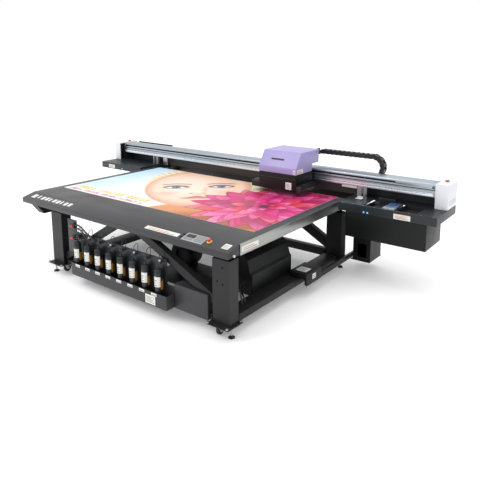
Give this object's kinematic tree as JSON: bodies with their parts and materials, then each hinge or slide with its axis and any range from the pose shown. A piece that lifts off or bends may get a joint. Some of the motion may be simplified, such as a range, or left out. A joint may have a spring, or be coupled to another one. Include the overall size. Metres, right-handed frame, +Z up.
{
  "type": "flatbed printer",
  "caption": "Large flatbed ultraviolet printer with a travelling gantry over a fixed vacuum bed, a carriage, an ink station and an open steel frame",
  "frame": {"origin": "On the floor, under the middle of the machine's outline: the station trays set its left and right ends, the ink tray its front and the rear cover its back.", "axes": "+X runs along the gantry to the right-hand ink station as the operator sees it, +Y runs from the operator to the back, +Z is up"},
  "size_m": [4.4, 2.206, 1.128],
  "materials": {
    "frame_paint": "near-black satin powder coat",
    "table_paint": "dark grey fine-textured powder coat",
    "tray_paint": "dark blue-grey powder coat",
    "black_paint": "black satin powder coat",
    "brown_paint": "brown-grey powder coat",
    "violet_paint": "soft violet satin paint",
    "white_paint": "white satin powder coat",
    "anodised_aluminium": "natural anodised",
    "bed_aluminium": "anodised and drilled",
    "rail_steel": "ground and bright",
    "side_stainless": "brushed stainless sheet",
    "keypad_film": "printed membrane",
    "black_plastic": "moulded black plastic",
    "chain_nylon": "moulded glass-filled nylon links",
    "red_plastic": "glossy red",
    "printed_sheet": "printed board with cured ink",
    "black_rubber": "dull black rubber"
  },
  "bodies": {
    "machine": {"legs": "frame_paint", "base_beams": "frame_paint", "upper_frame": "frame_paint", "truss_braces": "frame_paint", "y_rails": "rail_steel", "vacuum_bed": "bed_aluminium", "bed_border": "table_paint", "vacuum_plenum": "bed_aluminium", "vacuum_blower": "black_paint", "console_apron": "table_paint", "side_plates": "side_stainless", "rear_cover": "brown_paint", "control_keypad": "keypad_film", "electronics_cabinet": "black_paint", "interface_box": "black_paint", "ink_tray": "table_paint", "ink_bottles": "black_plastic", "ink_bottle_caps": "black_plastic", "bottle_bracket": "tray_paint", "hoses_and_cables": "black_rubber", "ink_cabinet": "table_paint", "printed_board": "printed_sheet", "levelling_feet": "frame_paint"},
    "gantry": {"gantry_beam": "anodised_aluminium", "x_rail": "rail_steel", "gantry_back_panel": "brown_paint", "gantry_uprights": "anodised_aluminium", "right_station_tray": "tray_paint", "left_station_tray": "tray_paint", "station_electronics_box": "black_paint", "waste_ink_box": "black_paint", "right_end_cover": "white_paint", "left_end_cover": "white_paint", "cleaning_station": "black_plastic", "cap_unit": "anodised_aluminium", "chain_trough": "black_paint", "chain_lower_run": "chain_nylon"},
    "carriage": {"carriage_truck": "frame_paint", "carriage_base": "black_paint", "carriage_cover": "violet_paint", "uv_lamps": "black_paint", "chain_bracket": "frame_paint", "chain_upper_run": "chain_nylon"},
    "heads": {"head_plate": "rail_steel", "print_heads": "anodised_aluminium"},
    "chain_loop": {"chain_loop": "chain_nylon"},
    "wiper": {"wiper": "white_paint"},
    "front_stop": {"front_stop_button": "red_plastic"},
    "right_stop": {"right_stop_button": "red_plastic"},
    "left_stop": {"left_stop_button": "red_plastic"},
    "upper_valve": {"upper_valve_knob": "red_plastic"},
    "lower_valve": {"lower_valve_knob": "red_plastic"},
    "fork_front_left": {"caster_fork_front_left": "frame_paint"},
    "wheel_front_left": {"caster_wheel_front_left": "black_rubber"},
    "fork_front_right": {"caster_fork_front_right": "frame_paint"},
    "wheel_front_right": {"caster_wheel_front_right": "black_rubber"},
    "fork_rear_left": {"caster_fork_rear_left": "frame_paint"},
    "wheel_rear_left": {"caster_wheel_rear_left": "black_rubber"},
    "fork_rear_right": {"caster_fork_rear_right": "frame_paint"},
    "wheel_rear_right": {"caster_wheel_rear_right": "black_rubber"}
  },
  "joints": [
    {"name": "gantry_travel", "type": "slide", "parent": "machine", "child": "gantry", "axis": [0, 1, 0], "range_m": [-1.35, 0]},
    {"name": "carriage_travel", "type": "slide", "parent": "gantry", "child": "carriage", "axis": [1, 0, 0], "range_m": [-1.95, 1.05], "deforming": ["chain_upper_run", "chain_lower_run"]},
    {"name": "chain_roll", "type": "slide", "parent": "carriage", "child": "chain_loop", "axis": [1, 0, 0], "range_m": [-0.525, 0.975]},
    {"name": "head_lift", "type": "slide", "parent": "carriage", "child": "heads", "axis": [0, 0, 1], "range_m": [-0.022, 0]},
    {"name": "wiper_travel", "type": "slide", "parent": "gantry", "child": "wiper", "axis": [0, 1, 0], "range_m": [-0.14, 0]},
    {"name": "upper_valve_turn", "type": "hinge", "parent": "machine", "child": "upper_valve", "pos_m": [-0.549, -1.048, 0.533], "axis": [0, 1, 0], "range_deg": [0, 90]},
    {"name": "lower_valve_turn", "type": "hinge", "parent": "machine", "child": "lower_valve", "pos_m": [-0.549, -1.048, 0.422], "axis": [0, 1, 0], "range_deg": [0, 90]},
    {"name": "front_stop_press", "type": "slide", "parent": "machine", "child": "front_stop", "axis": [0, -0.2545, 0.9671], "range_m": [-0.004, 0], "stiffness_N_per_m": 900, "springref_m": 0.003},
    {"name": "right_stop_press", "type": "slide", "parent": "gantry", "child": "right_stop", "axis": [0, 0, 1], "range_m": [-0.004, 0], "stiffness_N_per_m": 900, "springref_m": 0.003},
    {"name": "left_stop_press", "type": "slide", "parent": "gantry", "child": "left_stop", "axis": [0, 0, 1], "range_m": [-0.004, 0], "stiffness_N_per_m": 900, "springref_m": 0.003},
    {"name": "swivel_front_left", "type": "hinge", "parent": "machine", "child": "fork_front_left", "pos_m": [-0.829, -0.969, 0.1], "axis": [0, 0, 1], "continuous": true},
    {"name": "roll_front_left", "type": "hinge", "parent": "fork_front_left", "child": "wheel_front_left", "pos_m": [-0.829, -0.941, 0.041], "axis": [1, 0, 0], "continuous": true},
    {"name": "swivel_front_right", "type": "hinge", "parent": "machine", "child": "fork_front_right", "pos_m": [1.141, -1.003, 0.1], "axis": [0, 0, 1], "continuous": true},
    {"name": "roll_front_right", "type": "hinge", "parent": "fork_front_right", "child": "wheel_front_right", "pos_m": [1.141, -0.975, 0.041], "axis": [1, 0, 0], "continuous": true},
    {"name": "swivel_rear_left", "type": "hinge", "parent": "machine", "child": "fork_rear_left", "pos_m": [-0.819, 0.697, 0.1], "axis": [0, 0, 1], "continuous": true},
    {"name": "roll_rear_left", "type": "hinge", "parent": "fork_rear_left", "child": "wheel_rear_left", "pos_m": [-0.819, 0.725, 0.041], "axis": [1, 0, 0], "continuous": true},
    {"name": "swivel_rear_right", "type": "hinge", "parent": "machine", "child": "fork_rear_right", "pos_m": [1.131, 0.677, 0.1], "axis": [0, 0, 1], "continuous": true},
    {"name": "roll_rear_right", "type": "hinge", "parent": "fork_rear_right", "child": "wheel_rear_right", "pos_m": [1.131, 0.705, 0.041], "axis": [1, 0, 0], "continuous": true}
  ],
  "couplings": [
    {"joint": "chain_roll", "follows": "carriage_travel", "ratio": -0.5}
  ]
}
